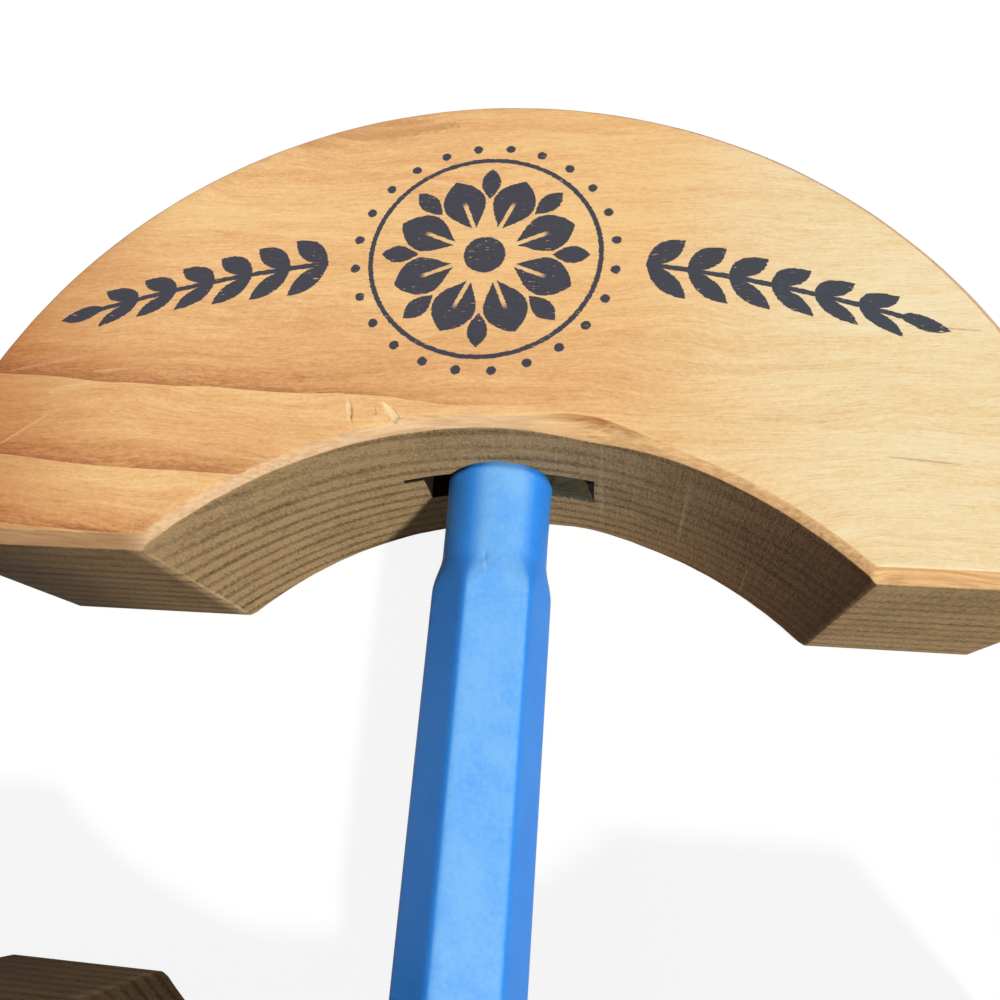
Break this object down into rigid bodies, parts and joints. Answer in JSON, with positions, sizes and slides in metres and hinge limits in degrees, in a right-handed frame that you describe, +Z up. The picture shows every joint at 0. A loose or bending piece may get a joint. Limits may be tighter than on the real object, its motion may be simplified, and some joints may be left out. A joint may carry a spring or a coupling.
{
  "type": "hat stretcher",
  "caption": "Hat stretcher: half-moon wooden blocks that a plastic turnbuckle handle pushes apart on right- and left-hand threaded rods.",
  "frame": {"origin": "middle of the handle, which is the middle of the whole part when it is closed", "axes": "+Y along the handle towards the front block, +Z up out of the blocks' upper faces, +X across"},
  "size_m": [0.1426, 0.1828, 0.0382],
  "materials": {
    "wood": "planed softwood with a thin clear finish on its faces",
    "steel": "bright zinc",
    "glue": "clear set glue",
    "brass": "turned",
    "blue_plastic": "moulded, semi-gloss"
  },
  "bodies": {
    "front_half": {"front_block": "wood", "front_anchor_plate": "steel", "front_threaded_rod": "steel", "front_glue_fill": "glue"},
    "front_insert": {"front_thread_insert": "brass"},
    "handle": {"handle": "blue_plastic", "rear_thread_insert": "brass"},
    "rear_half": {"rear_block": "wood", "rear_anchor_plate": "steel", "rear_threaded_rod": "steel", "rear_glue_fill": "glue"}
  },
  "joints": [
    {"name": "rear_slide", "type": "slide", "parent": "front_half", "child": "rear_half", "axis": [0, -1, 0], "range_m": [0, 0.03457]},
    {"name": "handle_travel", "type": "slide", "parent": "front_half", "child": "front_insert", "axis": [0, -1, 0], "range_m": [0, 0.0173]},
    {"name": "handle_turn", "type": "hinge", "parent": "front_insert", "child": "handle", "pos_m": [0, 0, 0], "axis": [0, -1, 0], "range_deg": [0, 4410]}
  ],
  "couplings": [
    {"joint": "handle_travel", "follows": "rear_slide", "ratio": 0.5},
    {"joint": "handle_turn", "follows": "rear_slide", "rad_per_m": 2226.3}
  ]
}
